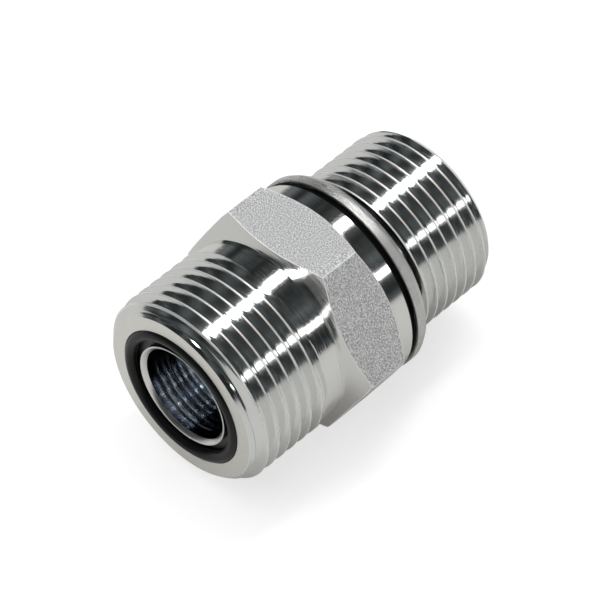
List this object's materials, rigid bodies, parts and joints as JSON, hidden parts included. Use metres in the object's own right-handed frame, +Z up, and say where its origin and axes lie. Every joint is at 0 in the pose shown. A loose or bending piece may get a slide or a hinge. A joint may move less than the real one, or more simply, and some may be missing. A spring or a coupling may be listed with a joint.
{
  "type": "face seal fitting",
  "caption": "Straight hydraulic adapter: male O-ring face seal end with parallel thread, wrench hexagon, and threaded port stud sealed by an O-ring and retaining ring.",
  "frame": {"origin": "centre of the bounding box's bottom: midway along the fitting, on the surface it lies on, below the bore axis", "axes": "+X along the bore axis from the face seal end to the port stud, +Z up out of the hexagon flat on top, +Y to the left when looking along +X"},
  "size_m": [0.0504, 0.0366, 0.032],
  "materials": {
    "plated_steel": "bright zinc plate over turned steel, ground-look hexagon flats",
    "ring_steel": "dull zinc plate",
    "nitrile_rubber": "smooth black, slight sheen"
  },
  "bodies": {
    "root": {"body": "plated_steel", "face_seal_o_ring": "nitrile_rubber", "stud_o_ring": "nitrile_rubber", "retaining_ring": "ring_steel"}
  },
  "joints": []
}
